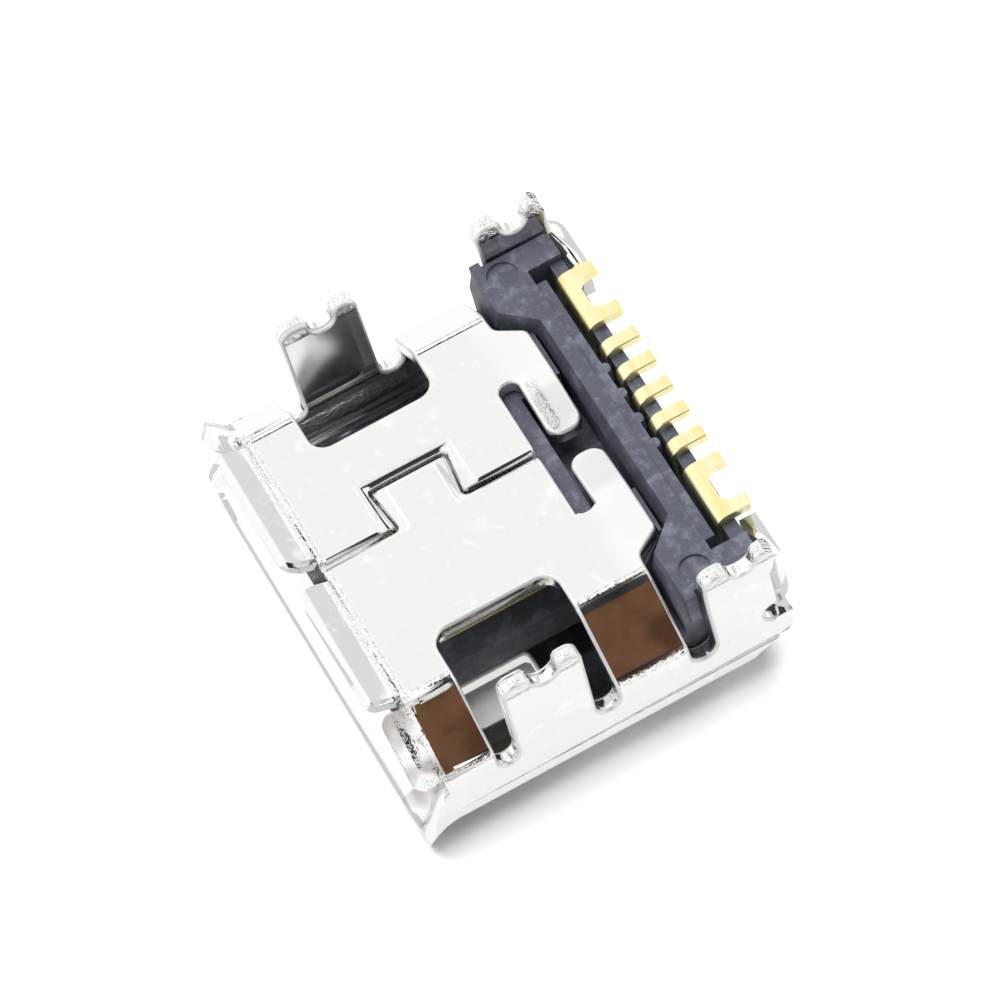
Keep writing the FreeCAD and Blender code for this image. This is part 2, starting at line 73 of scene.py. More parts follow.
# The same along Y, from the mouth to the rear
MOUTH_CORNER_END = (-2.70, -2.60)
FRONT_STRIP_END = (-1.90, -1.84)
WINDOW_FRONT = (-1.86, -1.80)
WINDOW_REAR = (0.10, 0.18)
REAR_STRIP_START = (0.16, 0.20)
CHAMFER_END = (1.40, 1.44)
DULL_REAR = (0.95, 1.35)
LEG_LEAN_ALONG = (-1.9, -0.4)

# The same in height, the first two counted from the seam side
UPPER_FACES = (-0.20, -0.10)
PRESSED_BAND = (-0.040, -0.015)
MOUTH_CORNER_FOOT = (1.2, 1.5)
LEG_FOOT = (1.60, 1.80)
LEG_LEAN_HEIGHT = (0.6, 3.8)
PRONGS = (3.05, 3.15)

# Middle and half width of narrower marks, in millimetres
WALL_SCRAPE_HEIGHT = (1.06, 0.18)
LEG_RIDGE_HEIGHT = (1.50, 0.07)
FINGER_SCRAPE_ALONG = (1.42, 0.11)
FINGER_SCRAPE_ACROSS = (-0.75, 0.55)

# How rough each kind of wear is beside the crazed folds
TORN_PRONGS = 1.7
SCRAPED_WALL = 0.75
SCRAPED_FINGER = 2.6
WORN_CORNER = 0.6

# The seam's lock: depth of its slopes, its stretch across, its half length and how far its slopes face up
LOCK_DEPTH = 0.045
LOCK_ACROSS = (-2.0, -0.2)
LOCK_HALF_LENGTH = 2.0
LOCK_NORMALS = (0.3, 0.97)

# Stage. Places and gaps are in millimetres, and turns are in degrees
LAMP_TOWARD = (-0.25, 0.04, 0.97)
CAMERA_PLACE = (54.58, -11.61, 84.67)
CAMERA_TURNS = (32.726, 9.936, 62.767)
TABLE_GAP = 0.002
MIRRORED_TABLE = 0.72
WHITE = (1.0, 1.0, 1.0, 1.0)

# Distances between nodes in the shader editor
COLUMN = 220
ROW = 260


class PortSizes(bpy.types.PropertyGroup):
    """Sizes and places of the finish."""

    sheet_round: FloatProperty(name="Sheet edge", description="Rounding of the stamped sheet's edges",
                               default=0.05 * MM, min=0.0, unit="LENGTH", precision=6)
    mould_round: FloatProperty(name="Moulded edge", description="Rounding of the body's edges",
                               default=0.022 * MM, min=0.0, unit="LENGTH", precision=6)
    tail_round: FloatProperty(name="Tail edge", description="Rounding of the solder tails' edges",
                              default=0.02 * MM, min=0.0, unit="LENGTH", precision=6)
    weld: FloatProperty(name="Weld", description="Points closer than this are joined",
                        default=0.006 * MM, min=0.0, unit="LENGTH", precision=6)
    lips_start: FloatProperty(name="Lips", description="Edges before this place along Y stay sharp",
                              default=-2.60 * MM, unit="LENGTH", precision=6)
    ears_start: FloatProperty(name="Ears", description="Ear edges past this place along Y stay sharp",
                              default=2.85 * MM, unit="LENGTH", precision=6)
    ears_side: FloatProperty(name="Side of the ears", description="Middle to the inner end of the rear ears",
                             default=2.60 * MM, min=0.0, unit="LENGTH", precision=6)
    share: FloatProperty(name="Rounded share", description="Most of a narrow face that its rounding may take",
                         default=0.45, min=0.0, max=0.5, subtype="FACTOR")
    flat: FloatProperty(name="Flat angle", description="Faces that turn less than this are joined",
                        default=math.radians(1.0), subtype="ANGLE")
    crease: FloatProperty(name="Crease angle", default=math.radians(2.5), subtype="ANGLE",
                          description="Edges between this and the sharp angle stay crisp")
    sharp: FloatProperty(name="Sharp angle", description="Edges that turn more than this are rounded",
                         default=math.radians(38), subtype="ANGLE")
    chamfer_craze: FloatProperty(name="Chamfer crazing", default=0.045 * MM, min=0.0, unit="LENGTH",
                                 description="Half width of the crazing at a chamfer's bend", precision=6)
    mouth_craze: FloatProperty(name="Mouth crazing", default=0.10 * MM, min=0.0, unit="LENGTH",
                               description="Half width of the crazing at the lips' bend", precision=6)
    foot_craze: FloatProperty(name="Foot crazing", default=0.05 * MM, min=0.0, unit="LENGTH",
                              description="Half width of the crazing at a chamfer's foot", precision=6)
    panel_half: FloatProperty(name="Seam side", description="Middle to the start of the chamfer's bend",
                              default=2.655 * MM, min=0.0, unit="LENGTH", precision=6)
    mouth_bend: FloatProperty(name="Mouth bend", description="Place of the lips' bend line along Y",
                              default=-2.70 * MM, unit="LENGTH", precision=6)
    chamfer_foot: FloatProperty(name="Chamfer foot", description="Height of the chamfer's lower bend",
                                default=1.745 * MM, min=0.0, unit="LENGTH", precision=6)
    seam_side: FloatProperty(name="Seam side height", description="Height of the seam side's face",
                             default=2.61 * MM, min=0.0, unit="LENGTH", precision=6)
    table: FloatProperty(name="Table", description="Width of the table", default=2.0, unit="LENGTH")


class PortColours(bpy.types.PropertyGroup):
    """Colours of the finish."""

    nickel: FloatVectorProperty(name="Nickel", description="Bright plating of the sheet", subtype="COLOR",
                                size=3, default=(0.90, 0.90, 0.885), min=0.0, max=1.0)
    frosted: FloatVectorProperty(name="Frosted plating", description="Dull cloudy patches of the plating",
                                 subtype="COLOR", size=3, default=(0.98, 0.98, 0.975), min=0.0, max=1.0)
    pressed: FloatVectorProperty(name="Pressed plating", description="Greyer plating in the pressed band",
                                 subtype="COLOR", size=3, default=(0.84, 0.84, 0.84), min=0.0, max=1.0)
    tarnished: FloatVectorProperty(name="Tarnished plating", description="Smoky tone on the chamfers",
                                   subtype="COLOR", size=3, default=(0.50, 0.47, 0.45), min=0.0, max=1.0)
    # Near-white edge colour: partly burnished wear, partly a painted highlight, as the edge material is half
    # diffuse
    burnish_and_highlight: FloatVectorProperty(name="Burnished edge and painted highlight", description="Worn plating and painted highlight on the sheet's cut edges",
                                   subtype="COLOR", size=3, default=(0.97, 0.97, 0.96), min=0.0, max=1.0)
    plastic: FloatVectorProperty(name="Body", description="Moulded black body", subtype="COLOR", size=3,
                                 default=(0.105, 0.112, 0.144), min=0.0, max=1.0)
    scuffed: FloatVectorProperty(name="Scuffed body", description="Paler rubbed spots of the body",
                                 subtype="COLOR", size=3, default=(0.270, 0.288, 0.356), min=0.0, max=1.0)
    gold: FloatVectorProperty(name="Gold", description="Gilt solder tails", subtype="COLOR", size=3,
                              default=(1.0, 0.965, 0.64), min=0.0, max=1.0)
    deep_gold: FloatVectorProperty(name="Deep gold", description="Darker gilt in the grain", subtype="COLOR",
                                   size=3, default=(0.97, 0.84, 0.38), min=0.0, max=1.0)
    table: FloatVectorProperty(name="Table", description="White table", subtype="COLOR", size=3,
                               default=(0.90, 0.90, 0.895), min=0.0, max=1.0)


class PortLight(bpy.types.PropertyGroup):
    """Light of the studio and lens of the camera."""

    lamp: FloatProperty(name="Window light", description="Strength of the lamp that casts the shadow",
                        default=2.3, min=0.0)
    spread: FloatProperty(name="Window spread", description="How wide the lamp looks from the port",
                          default=math.radians(65), subtype="ANGLE")
    sky: FloatProperty(name="Sky", description="Strength of the world on matt surfaces",
                       default=0.38, min=0.0)
    mirrored_sky: FloatProperty(name="Mirrored sky", description="Strength of the world as metal mirrors it",
                                default=1.12, min=0.0)
    lens: FloatProperty(name="Lens", description="Focal length of the camera", default=240.0, unit="CAMERA")


def feed(tree, socket, value):
    """Links an output to a socket, or sets the socket to a plain value."""
    if isinstance(value, bpy.types.NodeSocket):
        tree.links.new(value, socket)
    else:
        socket.default_value = value


def node(tree, kind, **inputs):
    """Adds a shader node and feeds its named inputs."""
    made = tree.nodes.new(kind)
    for name, value in inputs.items():
        feed(tree, made.inputs[name.replace("_", " ")], value)
    return made


def lay_out(tree):
    """Sets the nodes of a tree in columns, each to the left of all that it feeds."""
    columns = {item.name: 0 for item in tree.nodes}
    settled = False
    while not settled:
        settled = True
        for link in tree.links:
            wanted = columns[link.to_node.name] + 1
            if columns[link.from_node.name] < wanted:
                columns[link.from_node.name] = wanted
                settled = False
    rows = dict.fromkeys(columns.values(), 0)
    for item in tree.nodes:
        column = columns[item.name]
        item.location = (-COLUMN * column, -ROW * rows[column])
        rows[column] += 1


def maths(tree, operation, first, second=0.0, clamp=False):
    """A Math node between sockets or numbers."""
    made = tree.nodes.new("ShaderNodeMath")
    made.operation = operation
    made.use_clamp = clamp
    feed(tree, made.inputs[0], first)
    feed(tree, made.inputs[1], second)
    return made.outputs[0]


def together(tree, *masks):
    """The product of several masks."""
    return functools.reduce(lambda product, mask: maths(tree, "MULTIPLY", product, mask), masks)


def either(tree, *masks):
    """The greatest of several masks."""
    return functools.reduce(lambda greatest, mask: maths(tree, "MAXIMUM", greatest, mask), masks)


def band(tree, value, low, high, low_value=0.0, high_value=1.0):
    """Maps a value from low..high to low_value..high_value with a smooth step."""
    made = node(tree, "ShaderNodeMapRange", Value=value, From_Min=low, From_Max=high, To_Min=low_value,
                To_Max=high_value)
    made.interpolation_type = "SMOOTHSTEP"
    return made.outputs["Result"]


def rising(tree, value, stretch):
    """Nought before a stretch and one past it."""
    return band(tree, value, *stretch)


def falling(tree, value, stretch):
    """One before a stretch and nought past it."""
    return band(tree, value, *stretch, 1.0, 0.0)


def between(tree, factor, low, high):
    """From low to high, as a factor goes from nought to one."""
    return band(tree, factor, 0.0, 1.0, low, high)


def near(tree, value, middle, half):
    """One near a middle value, falling softly to nought round the half width."""
    off = maths(tree, "ABSOLUTE", maths(tree, "SUBTRACT", value, middle))
    return falling(tree, off, (half * 0.4, half * 1.3))


def noise(tree, vector, scale, detail, roughness=0.55, distortion=0.0):
    """A Noise Texture. Scale counts features to a unit of the vector, on a piece a millimetre."""
    made = node(tree, "ShaderNodeTexNoise", Vector=vector, Scale=scale, Detail=detail, Roughness=roughness,
                Distortion=distortion)
    return made.outputs["Fac"]


def in_millimetres(tree):
    """Object coordinates, turned from metres to millimetres."""
    scaled = tree.nodes.new("ShaderNodeVectorMath")
    scaled.operation = "SCALE"
    scaled.inputs["Scale"].default_value = 1 / MM
    tree.links.new(node(tree, "ShaderNodeTexCoord").outputs["Object"], scaled.inputs[0])
    return scaled.outputs["Vector"]


def blend_colours(tree, factor, low, high):
    """Mixes two colours by a factor. Each colour is a socket or three numbers."""
    made = tree.nodes.new("ShaderNodeMix")
    made.data_type = "RGBA"
    factor_in, low_in, high_in = made.inputs[0], made.inputs[6], made.inputs[7]
    tree.links.new(factor, factor_in)
    for socket, colour in ((low_in, low), (high_in, high)):
        feed(tree, socket, colour if isinstance(colour, bpy.types.NodeSocket) else (*colour, 1.0))
    return made.outputs[2]


def bump(tree, height, distance, before=None):
    """A Bump node, stacked on the normal of another where one is given."""
    made = node(tree, "ShaderNodeBump", Height=height, Strength=1.0, Distance=distance)
    if before is not None:
        tree.links.new(before, made.inputs["Normal"])
    return made.outputs["Normal"]


def mix_shaders(tree, factor, first, second):
    """Mixes two shaders by a factor. A missing one is black."""
    made = tree.nodes.new("ShaderNodeMixShader")
    for socket, value in zip(made.inputs, (factor, first, second)):
        if value is not None:
            tree.links.new(value, socket)
    return made.outputs[0]


def new_group(name, inputs, outputs):
    """A shader node group with one vector input, float inputs and float outputs."""
    group = bpy.data.node_groups.new(name, "ShaderNodeTree")
    group.interface.new_socket("Vector", in_out="INPUT", socket_type="NodeSocketVector")
    for socket, value in inputs.items():
        made = group.interface.new_socket(socket, in_out="INPUT", socket_type="NodeSocketFloat")
        made.default_value = value
    for socket in outputs:
        group.interface.new_socket(socket, in_out="OUTPUT", socket_type="NodeSocketFloat")
    entry = group.nodes.new("NodeGroupInput")
    leave = group.nodes.new("NodeGroupOutput")
    return group, entry.outputs, leave.inputs


def cloudy_patches():
    """Cloudy patches, ragged or soft at their edges, and fine specks, for dull plating and rubbed plastic."""
    name = "Cloudy patches"
    if name in bpy.data.node_groups:
        return bpy.data.node_groups[name]
    group, entry, leave = new_group(
        name, {"Scale": 1.0, "Speck scale": 12.0, "Level": 0.58, "Softness": 0.1, "Ragged": 0.5},
        ("Patches", "Specks"))
    clouds = noise(group, entry["Vector"], entry["Scale"], 2.0, 0.5, 0.4)
    specks = noise(group, entry["Vector"], entry["Speck scale"], 3.0, 0.7)
    uneven = maths(group, "MULTIPLY", maths(group, "SUBTRACT", specks, 0.5), entry["Ragged"])
    lifted = maths(group, "ADD", maths(group, "SUBTRACT", clouds, entry["Level"]), uneven)
    patches = maths(group, "DIVIDE", lifted, entry["Softness"])
    group.links.new(rising(group, patches, (0.0, 1.0)), leave["Patches"])
    group.links.new(rising(group, specks, (0.60, 0.70)), leave["Specks"])
    lay_out(group)
    return group


def fine_grain():
    """A fine uneven grain: a height for a bump and a broad, soft tone."""
    name = "Fine grain"
    if name in bpy.data.node_groups:
        return bpy.data.node_groups[name]
    group, entry, leave = new_group(name, {"Scale": 10.0}, ("Height", "Tone"))
    grain = noise(group, entry["Vector"], entry["Scale"], 4.0, 0.6)
    broad = noise(group, entry["Vector"], together(group, entry["Scale"], 0.12), 2.0, 0.5)
    group.links.new(grain, leave["Height"])
    group.links.new(rising(group, broad, (0.35, 0.65)), leave["Tone"])
    lay_out(group)
    return group


def use_group(tree, group, vector, **values):
    """Places a group in a material with its own values and returns its outputs."""
    made = tree.nodes.new("ShaderNodeGroup")
    made.node_tree = group
    tree.links.new(vector, made.inputs["Vector"])
    for name, value in values.items():
        made.inputs[name.replace("_", " ")].default_value = value
    return made.outputs


def new_material(name):
    """A material with an empty Principled shader. Returns the material, its tree and the shader."""
    material = bpy.data.materials.new(name)
    material.use_nodes = True
    tree = material.node_tree
    return material, tree, tree.nodes["Principled BSDF"]


def crazed_places(tree, sizes, spot, upper, inner):
    """Where the plating is rough: crazed folds and chamfer feet, torn prongs, scrapes and a worn corner."""
    top_bends = either(tree, near(tree, spot["across"], sizes.panel_half / MM, sizes.chamfer_craze / MM),
                       near(tree, spot["along"], sizes.mouth_bend / MM, sizes.mouth_craze / MM))
    folds = together(tree, upper, top_bends)
    beside_window = either(tree, falling(tree, spot["along"], FRONT_STRIP_END),
                           together(tree, rising(tree, spot["along"], REAR_STRIP_START),
                                    falling(tree, spot["along"], CHAMFER_END)))
    foot = together(tree, beside_window, rising(tree, spot["across"], CHAMFER_FOOT_SIDE),
                    near(tree, spot["height"], sizes.chamfer_foot / MM, sizes.foot_craze / MM))
    torn = together(tree, rising(tree, spot["height"], PRONGS), TORN_PRONGS)
    wall = together(tree, inner, near(tree, spot["height"], *WALL_SCRAPE_HEIGHT), SCRAPED_WALL)
    finger = together(tree, upper, near(tree, spot["along"], *FINGER_SCRAPE_ALONG),
                      near(tree, spot["x"], *FINGER_SCRAPE_ACROSS), SCRAPED_FINGER)
    corner = together(tree, falling(tree, spot["along"], MOUTH_CORNER_END),
                      rising(tree, spot["x"], MOUTH_CORNER_SIDE),
                      rising(tree, spot["height"], MOUTH_CORNER_FOOT), WORN_CORNER)
    return either(tree, folds, foot, torn, wall, finger, corner)


def sheet_masks(tree, vector, sizes):
    """Places of the shell's own wear and of its pressed, dished and tarnished faces."""
    parts = node(tree, "ShaderNodeSeparateXYZ", Vector=vector).outputs
    spot = {"x": parts["X"], "along": parts["Y"], "height": parts["Z"]}
    spot["across"] = maths(tree, "ABSOLUTE", spot["x"])
    from_top = maths(tree, "SUBTRACT", spot["height"], sizes.seam_side / MM)
    upper = rising(tree, from_top, UPPER_FACES)
    panel = together(tree, upper, falling(tree, spot["across"], PANEL_SIDE))
    inner = together(tree, rising(tree, spot["along"], WINDOW_FRONT),
                     falling(tree, spot["along"], WINDOW_REAR),
                     rising(tree, spot["across"], LEG_INSIDE), falling(tree, spot["across"], LEG_OUTSIDE))
    dished = together(tree, inner, rising(tree, spot["height"], LEG_FOOT))
    return {
        "crazed": crazed_places(tree, sizes, spot, upper, inner),
        "open": either(tree, panel, rising(tree, spot["across"], OUTER_WALL)),
        "rear": together(tree, panel, rising(tree, spot["along"], DULL_REAR)),
        "sunk": together(tree, falling(tree, from_top, PRESSED_BAND), upper,
                         falling(tree, spot["across"], LOCK_SIDE)),
        "chamfer": together(tree, rising(tree, spot["x"], CHAMFER_INSIDE),
                            falling(tree, spot["across"], CHAMFER_OUTSIDE),
                            falling(tree, spot["along"], CHAMFER_END)),
        "dished": dished,
        "lean": together(tree, dished, falling(tree, spot["along"], LEG_LEAN_ALONG),
                         falling(tree, spot["height"], LEG_LEAN_HEIGHT)),
        "ridge": together(tree, inner, near(tree, spot["height"], *LEG_RIDGE_HEIGHT)),
    }


def nickel_material(sizes, colours):
    """Bright nickel over rolled sheet, with soft cloudy patches, smoky chamfers and crazing at the folds."""
    material, tree, shader = new_material("Nickel plate")
    vector = in_millimetres(tree)
    clouds = use_group(tree, cloudy_patches(), vector, Scale=2.3, Speck_scale=7.0, Level=0.57, Softness=0.20,
                       Ragged=0.15)
    grain = use_group(tree, fine_grain(), vector, Scale=7.0)
    masks = sheet_masks(tree, vector, sizes)

    spotted = either(tree, clouds["Patches"], together(tree, clouds["Specks"], 0.5))
    rear = together(tree, masks["rear"], band(tree, grain["Tone"], 0.0, 0.8, 0.55, 1.0))
    dull = either(tree, together(tree, masks["open"], spotted), rear)
    smoky = together(tree, masks["chamfer"], rising(tree, noise(tree, vector, 1.6, 2.0, 0.4), (0.38, 0.66)))
    plate = blend_colours(tree, dull, colours.nickel, colours.frosted)
    plate = blend_colours(tree, masks["sunk"], plate, colours.pressed)
    plate = blend_colours(tree, smoky, plate, colours.tarnished)
    tree.links.new(plate, shader.inputs["Base Color"])
    shader.inputs["Metallic"].default_value = 1.0
    matt = either(tree, dull, together(tree, masks["dished"], 0.7))
    tree.links.new(between(tree, matt, 0.13, 0.40), shader.inputs["Roughness"])

    craze = together(tree, noise(tree, vector, 13.0, 2.0, 0.6), masks["crazed"])
    rolled = bump(tree, noise(tree, vector, 0.9, 2.0), 0.006 * MM)
    pitted = bump(tree, grain["Height"], 0.0008 * MM, before=rolled)
    rough = bump(tree, craze, 0.03 * MM, before=pitted)
    leaning = bump(tree, masks["lean"], 3.2 * MM, before=rough)
    ridged = bump(tree, masks["ridge"], 0.03 * MM, before=leaning)
    tree.links.new(ridged, shader.inputs["Normal"])
    lay_out(tree)
    return material


def edge_material(colours):
    """Burnished plating on the stamped edges, worn to a fine white sparkle; near white and half diffuse, it
    also paints a highlight on the rims.
    """
    material, tree, shader = new_material("Burnished edge and painted highlight")
    vector = in_millimetres(tree)
    grain = use_group(tree, fine_grain(), vector, Scale=12.0)
    tone = together(tree, grain["Tone"], 0.6)
    tree.links.new(blend_colours(tree, tone, colours.burnish_and_highlight, colours.nickel), shader.inputs["Base Color"])
    # Half diffuse, so the near-white colour paints a highlight on the rims beside the burnished wear
    shader.inputs["Metallic"].default_value = 0.45
    tree.links.new(between(tree, grain["Tone"], 0.32, 0.46), shader.inputs["Roughness"])
    tree.links.new(bump(tree, grain["Height"], 0.010 * MM), shader.inputs["Normal"])
    lay_out(tree)
    return material


def plastic_material(colours):
    """Black moulded body with a fine grain and rubbed spots."""
    material, tree, shader = new_material("Black moulding")
    vector = in_millimetres(tree)
    rubbed = use_group(tree, cloudy_patches(), vector, Scale=3.0, Speck_scale=14.0, Level=0.44, Softness=0.30,
                       Ragged=0.45)
    grain = use_group(tree, fine_grain(), vector, Scale=16.0)
    spots = maths(tree, "ADD", together(tree, rubbed["Patches"], 0.60),
                  together(tree, rubbed["Specks"], 0.40), clamp=True)
    tree.links.new(blend_colours(tree, spots, colours.plastic, colours.scuffed), shader.inputs["Base Color"])
    tree.links.new(between(tree, grain["Tone"], 0.40, 0.56), shader.inputs["Roughness"])
    shader.inputs["IOR"].default_value = 1.47
    tree.links.new(bump(tree, grain["Height"], 0.0030 * MM), shader.inputs["Normal"])
    lay_out(tree)
    return material


def gold_material(colours):
    """Satin gilt plating of the tails and lugs, with the faint streaks of the rolled strip."""
    material, tree, shader = new_material("Gold plate")
    vector = in_millimetres(tree)
    grain = use_group(tree, fine_grain(), vector, Scale=14.0)
    clouds = use_group(tree, cloudy_patches(), vector, Scale=2.5, Speck_scale=16.0, Level=0.58, Softness=0.2,
                       Ragged=0.3)
    drawn = tree.nodes.new("ShaderNodeVectorMath")
    drawn.operation = "MULTIPLY"
    drawn.inputs[1].default_value = (0.25, 5.0, 2.0)
    tree.links.new(vector, drawn.inputs[0])
    streaks = noise(tree, drawn.outputs["Vector"], 1.0, 3.0)
    tone = maths(tree, "ADD", together(tree, grain["Tone"], 0.25), band(tree, streaks, 0.42, 0.70, 0.0, 0.75),
                 clamp=True)
    tree.links.new(blend_colours(tree, tone, colours.gold, colours.deep_gold), shader.inputs["Base Color"])
    shader.inputs["Metallic"].default_value = 1.0
    tree.links.new(between(tree, clouds["Patches"], 0.30, 0.42), shader.inputs["Roughness"])
    pitted = bump(tree, grain["Height"], 0.0016 * MM)
    tree.links.new(bump(tree, streaks, 0.010 * MM, before=pitted), shader.inputs["Normal"])
    lay_out(tree)
    return material


def mirrored_rays(tree, path):
    """One for what metal shows to the eye, and nought for light that has come off a matt surface."""
    shiny = either(tree, path.outputs["Is Glossy Ray"], path.outputs["Is Transmission Ray"])
    first = maths(tree, "LESS_THAN", path.outputs["Diffuse Depth"], 0.5)
    return together(tree, shiny, first)


def table_material(colours, light):
    """White table that keeps the port's soft shadow. To the camera and to metal it is a brighter white."""
    material, tree, shader = new_material("White table")
    shader.inputs["Base Color"].default_value = (*colours.table, 1.0)
    shader.inputs["Roughness"].default_value = 0.6
    path = node(tree, "ShaderNodeLightPath")
    coat = node(tree, "ShaderNodeBsdfDiffuse", Color=WHITE)
    lift = mix_shaders(tree, path.outputs["Is Camera Ray"], None, coat.outputs[0])
    lifted = tree.nodes.new("ShaderNodeAddShader")
    tree.links.new(shader.outputs[0], lifted.inputs[0])
    tree.links.new(lift, lifted.inputs[1])
    white = node(tree, "ShaderNodeEmission", Color=WHITE, Strength=light.mirrored_sky)
    mirrored = together(tree, mirrored_rays(tree, path), MIRRORED_TABLE)
    shown = mix_shaders(tree, mirrored, lifted.outputs[0], white.outputs[0])
    tree.links.new(shown, tree.nodes["Material Output"].inputs["Surface"])
    material.cycles.emission_sampling = "NONE"
    lay_out(tree)
    return material


def has_room(edge, width, sizes):
    """True where an edge can be rounded: off the lips and ears, and between faces that are wide enough."""
    middle = (edge.verts[0].co + edge.verts[1].co) / 2
    in_lips = middle.y < sizes.lips_start
    in_ears = middle.y > sizes.ears_start and abs(middle.x) > sizes.ears_side
    reach = min(face.calc_area() for face in edge.link_faces) / max(edge.calc_length(), sizes.weld)
    return not in_lips and not in_ears and reach >= width / sizes.share


def cleaned_copy(cad_node, name, width, sizes):
    """A copy of a CAD node with its triangles joined, its flat faces whole and its sharp edges weighted."""
    mesh = bpy.data.meshes.new(name)
    work = bmesh.new()
    work.from_mesh(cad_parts[cad_node].data)
    bmesh.ops.remove_doubles(work, verts=work.verts, dist=sizes.weld)
    bmesh.ops.dissolve_limit(work, angle_limit=sizes.flat, verts=work.verts, edges=work.edges,
                             use_dissolve_boundaries=False, delimit={"NORMAL"})
    for face in work.faces:
        face.smooth = True
        face.material_index = 0
    weights = work.edges.layers.float.new("bevel_weight_edge")
    for edge in work.edges:
        turn = edge.calc_face_angle(0.0)
        edge.smooth = not sizes.crease < turn < sizes.sharp
        edge[weights] = float(turn >= sizes.sharp and has_room(edge, width, sizes))
    work.to_mesh(mesh)
    work.free()
    piece = bpy.data.objects.new(name, mesh)
    bpy.context.scene.collection.objects.link(piece)
    return piece


def round_edges(piece, width, sizes, burnish_and_highlight):
    """Rounds the sharp edges and shades the bends smoothly. On a piece with two materials the roundings take
    the second: burnished plating with a painted highlight.
    """
    bevel = piece.modifiers.new("Rounded edges", "BEVEL")
    bevel.material = 1 if burnish_and_highlight else -1
    bevel.width = width
    bevel.segments = 3
    bevel.limit_method = "WEIGHT" if burnish_and_highlight else "ANGLE"
    bevel.angle_limit = sizes.sharp
    bevel.use_clamp_overlap = not burnish_and_highlight
    bevel.harden_normals = False
    weighted = piece.modifiers.new("Weighted normals", "WEIGHTED_NORMAL")
    weighted.mode = "FACE_AREA_WITH_ANGLE"
    weighted.weight = 80
    weighted.keep_sharp = True


def dressed(cad_node, name, width, sizes, slot, *materials):
    """The finished piece that stands for a CAD node. A second material goes on its rounded edges."""
    piece = cleaned_copy(cad_node, name, width, sizes)
    for material in materials:
        piece.data.materials.append(material)
    round_edges(piece, width, sizes, burnish_and_highlight=len(materials) > 1)
    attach(piece, "root")
    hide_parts(cad_node)
    return piece


def burnish_and_brighten_lock(piece, sizes):
    """Gives the pressed slopes of the seam's lock the edge material, burnished and with a painted highlight,
    so they show light where they would mirror dark.
    """
    left, right = (side * MM for side in LOCK_ACROSS)
    for face in piece.data.polygons:
        depth = sizes.seam_side - face.center.z
        beside = left < face.center.x < right and abs(face.center.y) < LOCK_HALF_LENGTH * MM
        sloped = LOCK_NORMALS[0] < face.normal.z < LOCK_NORMALS[1]
        if depth < LOCK_DEPTH * MM and beside and sloped:
            face.material_index = 1


class FinishShell(bpy.types.Operator):
    """Finish the folded sheet in bright nickel"""

    bl_idname = "port.finish_shell"
    bl_label = "Folded shell"

    def execute(self, context):
        sizes = context.scene.port_sizes
        colours = context.scene.port_colours
        piece = dressed("shell", "folded_shell", sizes.sheet_round, sizes, "nickel_plate",
                        nickel_material(sizes, colours), edge_material(colours))
        # The lock's slopes take the edge material's painted highlight
        burnish_and_brighten_lock(piece, sizes)
        return {"FINISHED"}


class FinishBody(bpy.types.Operator):
    """Finish the moulded body in black plastic"""

    bl_idname = "port.finish_body"
    bl_label = "Moulded body"

    def execute(self, context):
        sizes = context.scene.port_sizes
        dressed("housing", "moulded_body", sizes.mould_round, sizes, "black_plastic",
                plastic_material(context.scene.port_colours))
        return {"FINISHED"}


class FinishTails(bpy.types.Operator):
    """Finish the contacts and the solder lugs in gold"""

    bl_idname = "port.finish_tails"
    bl_label = "Contacts and lugs"

    def execute(self, context):
        sizes = context.scene.port_sizes
        gold = gold_material(context.scene.port_colours)
        for name in TAILS + LUGS:
            dressed(name, "gilt_" + name, sizes.tail_round, sizes, "gold_plate", gold)
        return {"FINISHED"}


def add_table(context):
    """A wide white table under the port."""
    mesh = bpy.data.meshes.new("table")
    work = bmesh.new()
    half = context.scene.port_sizes.table / 2
    bmesh.ops.create_grid(work, x_segments=1, y_segments=1, size=half)
    work.to_mesh(mesh)
    work.free()
    table = bpy.data.objects.new("table", mesh)
    context.scene.collection.objects.link(table)
    table.location.z = shell_low.z - TABLE_GAP * MM
    mesh.materials.append(table_material(context.scene.port_colours, context.scene.port_light))


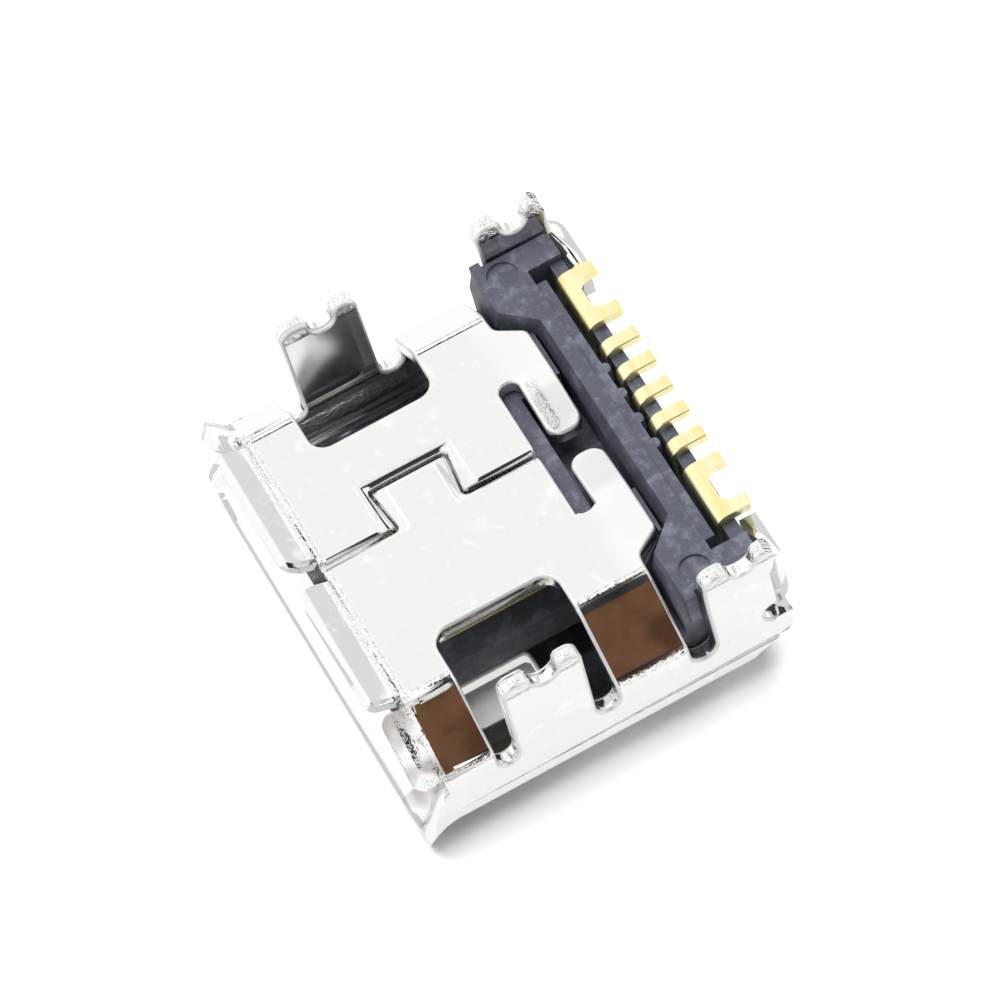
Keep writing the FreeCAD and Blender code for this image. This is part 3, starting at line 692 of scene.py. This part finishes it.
def add_world(context):
    """A soft studio that shows plain white to the camera, with the dim sides of a room for the metal."""
    light = context.scene.port_light
    world = bpy.data.worlds.new("Soft studio")
    world.use_nodes = True
    context.scene.world = world
    tree = world.node_tree
    tree.nodes.clear()
    direction = node(tree, "ShaderNodeTexCoord").outputs["Generated"]
    wood_grain = rising(tree, noise(tree, direction, 90.0, 1.0), (0.35, 0.65))
    wood = blend_colours(tree, wood_grain, (0.085, 0.045, 0.026), (0.22, 0.105, 0.050))
    patches = (
        ("dimmer wall", (-0.55, 0.11, 0.83), (0.970, 0.988), (0.89, 0.89, 0.885)),
        ("far wall", (-0.56, 0.63, 0.53), (0.955, 0.980), (0.70, 0.70, 0.705)),
        ("wooden side", (0.80, 0.10, 0.59), (0.905, 0.925), wood),
        ("hood", (0.36, 0.10, 0.93), (0.905, 0.925), (0.035, 0.035, 0.038)),
        ("dark corner", (0.93, 0.10, 0.36), (0.955, 0.970), (0.02, 0.02, 0.02)),
    )
    shade = WHITE[:3]
    for name, toward, edge, colour in patches:
        facing = tree.nodes.new("ShaderNodeVectorMath")
        facing.label = name
        facing.operation = "DOT_PRODUCT"
        facing.inputs[1].default_value = Vector(toward).normalized()
        tree.links.new(direction, facing.inputs[0])
        shade = blend_colours(tree, rising(tree, facing.outputs["Value"], edge), shade, colour)
    path = node(tree, "ShaderNodeLightPath")
    extra = together(tree, mirrored_rays(tree, path), light.mirrored_sky - light.sky)
    room = node(tree, "ShaderNodeBackground", Color=shade, Strength=maths(tree, "ADD", extra, light.sky))
    plain = node(tree, "ShaderNodeBackground", Color=WHITE, Strength=1.0)
    seen = mix_shaders(tree, path.outputs["Is Camera Ray"], room.outputs[0], plain.outputs[0])
    node(tree, "ShaderNodeOutputWorld", Surface=seen)
    lay_out(tree)


def add_window_light(context):
    """A wide soft lamp far off. It casts the shadow and isn't mirrored in the metal."""
    light = context.scene.port_light
    data = bpy.data.lights.new("window_light", "SUN")
    data.energy = light.lamp
    data.angle = light.spread
    lamp = bpy.data.objects.new("window_light", data)
    lamp.rotation_euler = Vector(LAMP_TOWARD).to_track_quat("Z", "Y").to_euler()
    lamp.visible_glossy = False
    context.scene.collection.objects.link(lamp)


def add_camera(context):
    """The camera at the photograph's place, with its long lens."""
    data = bpy.data.cameras.new("camera")
    data.sensor_width = 36.0
    data.lens = context.scene.port_light.lens
    data.clip_start = 0.005
    data.clip_end = 20.0
    camera = bpy.data.objects.new("camera", data)
    camera.location = Vector(CAMERA_PLACE) * MM
    camera.rotation_euler = Euler([math.radians(turn) for turn in CAMERA_TURNS])
    context.scene.collection.objects.link(camera)
    context.scene.camera = camera


class SetStage(bpy.types.Operator):
    """Set the table, the soft light and the camera"""

    bl_idname = "port.set_stage"
    bl_label = "Table, light and camera"

    def execute(self, context):
        add_table(context)
        add_world(context)
        add_window_light(context)
        add_camera(context)
        context.scene.view_settings.view_transform = "Standard"
        return {"FINISHED"}


class PortPanel(bpy.types.Panel):
    """Lists the steps that finish the port, and its sizes, colours and light"""

    bl_idname = "PORT_PT_steps"
    bl_label = "Charging port"
    bl_space_type = "VIEW_3D"
    bl_region_type = "UI"
    bl_category = "Port"

    def draw(self, context):
        column = self.layout.column()
        for step in STEPS:
            column.operator(step.bl_idname)
        scene = context.scene
        for group in (scene.port_sizes, scene.port_colours, scene.port_light):
            box = self.layout.box()
            for name in group.__annotations__:
                box.prop(group, name)


STEPS = (FinishShell, FinishBody, FinishTails, SetStage)
CLASSES = (PortSizes, PortColours, PortLight, *STEPS, PortPanel)


def register():
    for item in CLASSES:
        bpy.utils.register_class(item)
    bpy.types.Scene.port_sizes = PointerProperty(type=PortSizes)
    bpy.types.Scene.port_colours = PointerProperty(type=PortColours)
    bpy.types.Scene.port_light = PointerProperty(type=PortLight)


def unregister():
    del bpy.types.Scene.port_light
    del bpy.types.Scene.port_colours
    del bpy.types.Scene.port_sizes
    for item in reversed(CLASSES):
        bpy.utils.unregister_class(item)


def main():
    register()
    bpy.ops.port.finish_shell()
    bpy.ops.port.finish_body()
    bpy.ops.port.finish_tails()
    bpy.ops.port.set_stage()


if __name__ == "__main__":
    main()
